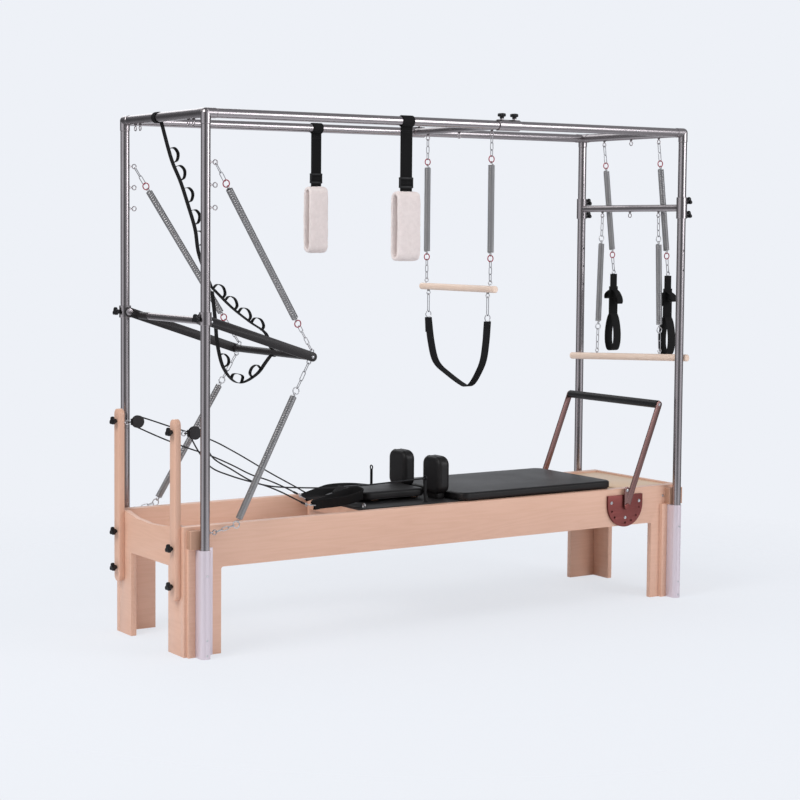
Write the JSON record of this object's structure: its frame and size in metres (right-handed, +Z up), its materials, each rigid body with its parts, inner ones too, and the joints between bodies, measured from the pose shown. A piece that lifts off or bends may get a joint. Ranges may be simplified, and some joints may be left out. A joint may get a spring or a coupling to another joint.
{
  "type": "pilates trapeze table",
  "caption": "Wooden sliding-carriage bed under a steel four-post canopy with push-through bar, trapeze, springs, pulleys, straps and fleece loops.",
  "frame": {"origin": "on the floor, under the middle of the whole object's box", "axes": "+X toward the foot end with the standing platform, -Y toward the near side of the picture, +Z up"},
  "size_m": [2.6434, 0.756, 2.16],
  "materials": {
    "maple": "clear satin lacquer on laminated pale wood",
    "pale_wood": "clear satin lacquer",
    "steel_tube": "polished stainless tube",
    "aluminium": "satin anodised extrusion",
    "dark_metal": "black powder coat",
    "dark_bar": "brushed bars with black sleeves",
    "plate": "satin laser-cut plate",
    "spring_steel": "oiled spring wire",
    "vinyl": "smooth black upholstery vinyl",
    "black_plastic": "moulded black plastic",
    "webbing": "woven black webbing",
    "fleece": "white sheepskin-like pile",
    "rope": "braided black rope"
  },
  "bodies": {
    "frame": {"side_panel_near": "maple", "side_panel_far": "maple", "head_board": "maple", "foot_board": "maple", "standing_platform": "pale_wood", "spring_bar": "dark_metal", "post_socket_head_near": "aluminium", "post_socket_head_far": "aluminium", "post_socket_foot_near": "aluminium", "post_socket_foot_far": "aluminium", "post_head_near": "steel_tube", "post_head_far": "steel_tube", "post_foot_near": "steel_tube", "post_foot_far": "steel_tube", "canopy_rail_near": "steel_tube", "canopy_rail_far": "steel_tube", "canopy_end_bar_head": "steel_tube", "canopy_end_bar_foot": "steel_tube", "quadrant_plates_near": "plate", "quadrant_plates_far": "plate", "riser_near": "maple", "riser_far": "maple", "pulley_block_near": "black_plastic", "pulley_block_far": "black_plastic", "rope_near": "rope", "rope_far": "rope", "upper_spring_near": "spring_steel", "upper_spring_far": "spring_steel", "lower_spring_near": "spring_steel", "lower_spring_far": "spring_steel", "ladder_strap": "webbing"},
    "carriage": {"carriage_frame": "dark_metal", "carriage_pad": "vinyl", "shoulder_rest_near": "vinyl", "shoulder_rest_far": "vinyl", "carriage_springs": "spring_steel", "hand_loops": "webbing"},
    "headrest": {"headrest": "vinyl"},
    "wheels_head": {"wheel_axle_head": "black_plastic"},
    "wheels_foot": {"wheel_axle_foot": "black_plastic"},
    "push_bar": {"push_bar": "dark_bar"},
    "foot_bar": {"foot_bar": "steel_tube", "foot_bar_grip": "vinyl"},
    "trapeze_carrier": {"trapeze_carrier": "steel_tube"},
    "trapeze_springs": {"trapeze_spring_near": "spring_steel", "trapeze_spring_far": "spring_steel"},
    "trapeze_bar": {"trapeze_bar": "pale_wood", "trapeze_sling": "webbing"},
    "height_bar": {"height_bar": "steel_tube", "roll_down_spring_near": "spring_steel", "roll_down_spring_far": "spring_steel"},
    "roll_down_bar": {"roll_down_bar": "pale_wood"},
    "strap_near": {"strap_spring_near": "spring_steel", "foot_strap_near": "webbing"},
    "strap_far": {"strap_spring_far": "spring_steel", "foot_strap_far": "webbing"},
    "loop_near": {"padded_loop_near": "fleece"},
    "loop_far": {"padded_loop_far": "fleece"},
    "sheave_near": {"sheave_near": "steel_tube"},
    "sheave_far": {"sheave_far": "steel_tube"}
  },
  "joints": [
    {"name": "carriage_slide", "type": "slide", "parent": "frame", "child": "carriage", "axis": [1, 0, 0], "range_m": [-0.8, 0], "deforming": ["rope_near", "rope_far"]},
    {"name": "headrest_tilt", "type": "hinge", "parent": "carriage", "child": "headrest", "pos_m": [0.00065, 0, 0.548], "axis": [0, 1, 0], "range_deg": [0, 40]},
    {"name": "wheels_head_spin", "type": "hinge", "parent": "carriage", "child": "wheels_head", "pos_m": [-0.28735, 0, 0.4283], "axis": [0, 1, 0], "continuous": true},
    {"name": "wheels_foot_spin", "type": "hinge", "parent": "carriage", "child": "wheels_foot", "pos_m": [0.85265, 0, 0.4283], "axis": [0, 1, 0], "continuous": true},
    {"name": "push_bar_swing", "type": "hinge", "parent": "frame", "child": "push_bar", "pos_m": [-1.20735, 0, 1.323], "axis": [0, 1, 0], "range_deg": [-75, 40], "stiffness_Nm_per_rad": 60, "springref_deg": -8.31, "deforming": ["upper_spring_near", "upper_spring_far", "lower_spring_near", "lower_spring_far", "ladder_strap"]},
    {"name": "foot_bar_tilt", "type": "hinge", "parent": "frame", "child": "foot_bar", "pos_m": [0.96465, 0, 0.432], "axis": [0, 1, 0], "range_deg": [-22, 45]},
    {"name": "trapeze_travel", "type": "slide", "parent": "frame", "child": "trapeze_carrier", "axis": [1, 0, 0], "range_m": [-0.35, 0.4]},
    {"name": "trapeze_swing", "type": "hinge", "parent": "trapeze_carrier", "child": "trapeze_springs", "pos_m": [0.24265, 0, 2.078], "axis": [0, 1, 0], "range_deg": [-10, 10]},
    {"name": "trapeze_pull", "type": "slide", "parent": "trapeze_springs", "child": "trapeze_bar", "axis": [0, 0, 1], "range_m": [-0.25, 0], "stiffness_N_per_m": 400, "springref_m": 0.04, "deforming": ["trapeze_spring_near", "trapeze_spring_far"]},
    {"name": "height_bar_slide", "type": "slide", "parent": "frame", "child": "height_bar", "axis": [0, 0, 1], "range_m": [-0.1, 0]},
    {"name": "roll_down_pull", "type": "slide", "parent": "height_bar", "child": "roll_down_bar", "axis": [0, 0, 1], "range_m": [-0.08, 0], "stiffness_N_per_m": 400, "springref_m": 0.05, "deforming": ["roll_down_spring_near", "roll_down_spring_far"]},
    {"name": "strap_near_swing", "type": "hinge", "parent": "frame", "child": "strap_near", "pos_m": [1.23265, -0.189, 2.074], "axis": [0, 1, 0], "range_deg": [-30, 0]},
    {"name": "strap_far_swing", "type": "hinge", "parent": "frame", "child": "strap_far", "pos_m": [1.23265, 0.189, 2.074], "axis": [0, 1, 0], "range_deg": [-30, 0]},
    {"name": "loop_near_swing", "type": "hinge", "parent": "frame", "child": "loop_near", "pos_m": [-0.27735, -0.348, 2.11], "axis": [1, 0, 0], "range_deg": [-25, 25]},
    {"name": "loop_far_swing", "type": "hinge", "parent": "frame", "child": "loop_far", "pos_m": [-0.27735, 0.348, 2.11], "axis": [1, 0, 0], "range_deg": [-25, 25]},
    {"name": "sheave_near_spin", "type": "hinge", "parent": "frame", "child": "sheave_near", "pos_m": [-1.19935, -0.247, 0.872], "axis": [0, 1, 0], "continuous": true},
    {"name": "sheave_far_spin", "type": "hinge", "parent": "frame", "child": "sheave_far", "pos_m": [-1.19935, 0.247, 0.872], "axis": [0, 1, 0], "continuous": true}
  ],
  "couplings": [
    {"joint": "wheels_head_spin", "follows": "carriage_slide", "rad_per_m": 35.714},
    {"joint": "wheels_foot_spin", "follows": "carriage_slide", "rad_per_m": 35.714}
  ]
}
